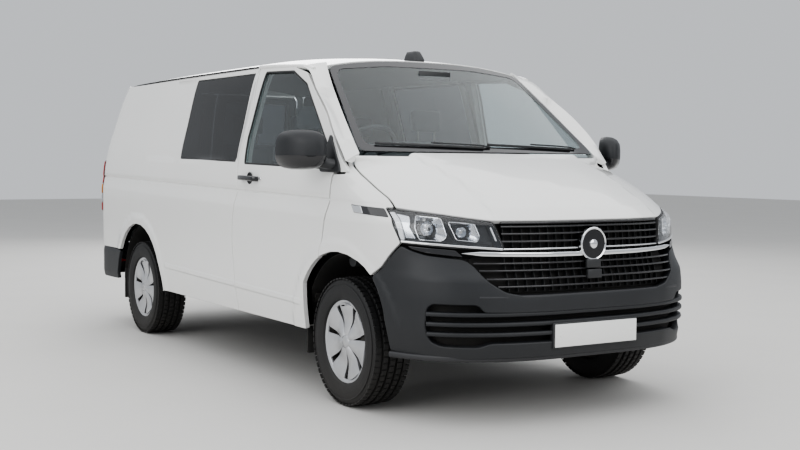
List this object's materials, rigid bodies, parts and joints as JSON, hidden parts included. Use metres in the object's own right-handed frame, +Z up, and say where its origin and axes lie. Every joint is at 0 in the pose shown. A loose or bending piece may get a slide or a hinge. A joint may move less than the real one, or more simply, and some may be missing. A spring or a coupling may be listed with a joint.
{
  "type": "panel van",
  "caption": "Mid-size panel van with glazed front half, opening bonnet, hinged front and rear doors, steering and rolling wheels.",
  "frame": {"origin": "floor point below the middle of the van, tyres on z = 0", "axes": "+X to the front, +Y to the left side, +Z up"},
  "size_m": [4.904, 2.2962, 1.93],
  "materials": {
    "white_paint": "gloss solid white",
    "dark_plastic": "grained moulding",
    "gloss_black": "gloss",
    "glass": "clear, lightly tinted",
    "privacy_glass": "dark privacy tint",
    "lamp": "clear lens over chrome reflectors",
    "tail_lamp": "red lens",
    "plate": "blank white plate",
    "chassis": "satin black underbody coat",
    "engine_metal": "cast and machined",
    "cab_plastic": "grained cab trim",
    "seat_cloth": "dark grey woven cloth",
    "tyre_rubber": "treaded rubber",
    "wheel_silver": "silver lacquer",
    "steel": "cast and machined"
  },
  "bodies": {
    "body": {"floor": "chassis", "side_r": "white_paint", "side_l": "white_paint", "roof": "white_paint", "wings": "white_paint", "cowl": "dark_plastic", "windscreen": "glass", "grille": "gloss_black", "front_bumper": "dark_plastic", "rear_bumper": "dark_plastic", "headlamps": "lamp", "tail_lamps": "tail_lamp", "front_plate": "plate", "slide_door": "white_paint", "side_glass": "privacy_glass", "wipers": "dark_plastic", "aerial": "gloss_black", "engine": "engine_metal", "dashboard": "cab_plastic", "front_seats": "seat_cloth", "rear_bench": "seat_cloth", "front_axle": "chassis", "rear_axle": "chassis"},
    "bonnet": {"bonnet": "white_paint"},
    "front_door_r": {"door_r": "white_paint", "door_glass_r": "glass", "mirror_r": "dark_plastic"},
    "front_door_l": {"door_l": "white_paint", "door_glass_l": "glass", "mirror_l": "dark_plastic"},
    "back_door_r": {"rear_door_r": "white_paint", "rear_glass_r": "privacy_glass"},
    "back_door_l": {"rear_door_l": "white_paint", "rear_glass_l": "privacy_glass"},
    "steering": {"steering_wheel": "cab_plastic"},
    "steer_r": {"knuckle_r": "steel"},
    "steer_l": {"knuckle_l": "steel"},
    "wheel_fr": {"tyre_fr": "tyre_rubber", "rim_fr": "wheel_silver"},
    "wheel_fl": {"tyre_fl": "tyre_rubber", "rim_fl": "wheel_silver"},
    "wheel_rr": {"tyre_rr": "tyre_rubber", "rim_rr": "wheel_silver"},
    "wheel_rl": {"tyre_rl": "tyre_rubber", "rim_rl": "wheel_silver"}
  },
  "joints": [
    {"name": "bonnet_hinge", "type": "hinge", "parent": "body", "child": "bonnet", "pos_m": [1.5, 0, 1.27], "axis": [0, -1, 0], "range_deg": [0, 50]},
    {"name": "front_door_r_hinge", "type": "hinge", "parent": "body", "child": "front_door_r", "pos_m": [1.491, -0.904, 1], "axis": [0, 0, 1], "range_deg": [0, 68]},
    {"name": "front_door_l_hinge", "type": "hinge", "parent": "body", "child": "front_door_l", "pos_m": [1.491, 0.904, 1], "axis": [0, 0, -1], "range_deg": [0, 68]},
    {"name": "back_door_r_hinge", "type": "hinge", "parent": "body", "child": "back_door_r", "pos_m": [-2.396, -0.8, 1], "axis": [0, 0, 1], "range_deg": [0, 90]},
    {"name": "back_door_l_hinge", "type": "hinge", "parent": "body", "child": "back_door_l", "pos_m": [-2.396, 0.8, 1], "axis": [0, 0, -1], "range_deg": [0, 90]},
    {"name": "steer_r_turn", "type": "hinge", "parent": "body", "child": "steer_r", "pos_m": [1.544, -0.73, 0.334], "axis": [0, 0, 1], "range_deg": [-35, 35]},
    {"name": "steer_l_turn", "type": "hinge", "parent": "body", "child": "steer_l", "pos_m": [1.544, 0.73, 0.334], "axis": [0, 0, 1], "range_deg": [-35, 35]},
    {"name": "steering_wheel_turn", "type": "hinge", "parent": "body", "child": "steering", "pos_m": [0.85, -0.38, 1.32], "axis": [-0.788, 0, 0.6157], "range_deg": [-540, 540]},
    {"name": "wheel_fr_spin", "type": "hinge", "parent": "steer_r", "child": "wheel_fr", "pos_m": [1.544, -0.814, 0.334], "axis": [0, 1, 0], "continuous": true},
    {"name": "wheel_fl_spin", "type": "hinge", "parent": "steer_l", "child": "wheel_fl", "pos_m": [1.544, 0.814, 0.334], "axis": [0, 1, 0], "continuous": true},
    {"name": "wheel_rr_spin", "type": "hinge", "parent": "body", "child": "wheel_rr", "pos_m": [-1.456, -0.814, 0.334], "axis": [0, 1, 0], "continuous": true},
    {"name": "wheel_rl_spin", "type": "hinge", "parent": "body", "child": "wheel_rl", "pos_m": [-1.456, 0.814, 0.334], "axis": [0, 1, 0], "continuous": true}
  ],
  "couplings": [
    {"joint": "steer_l_turn", "follows": "steer_r_turn", "ratio": 1},
    {"joint": "steering_wheel_turn", "follows": "steer_r_turn", "ratio": 15}
  ]
}
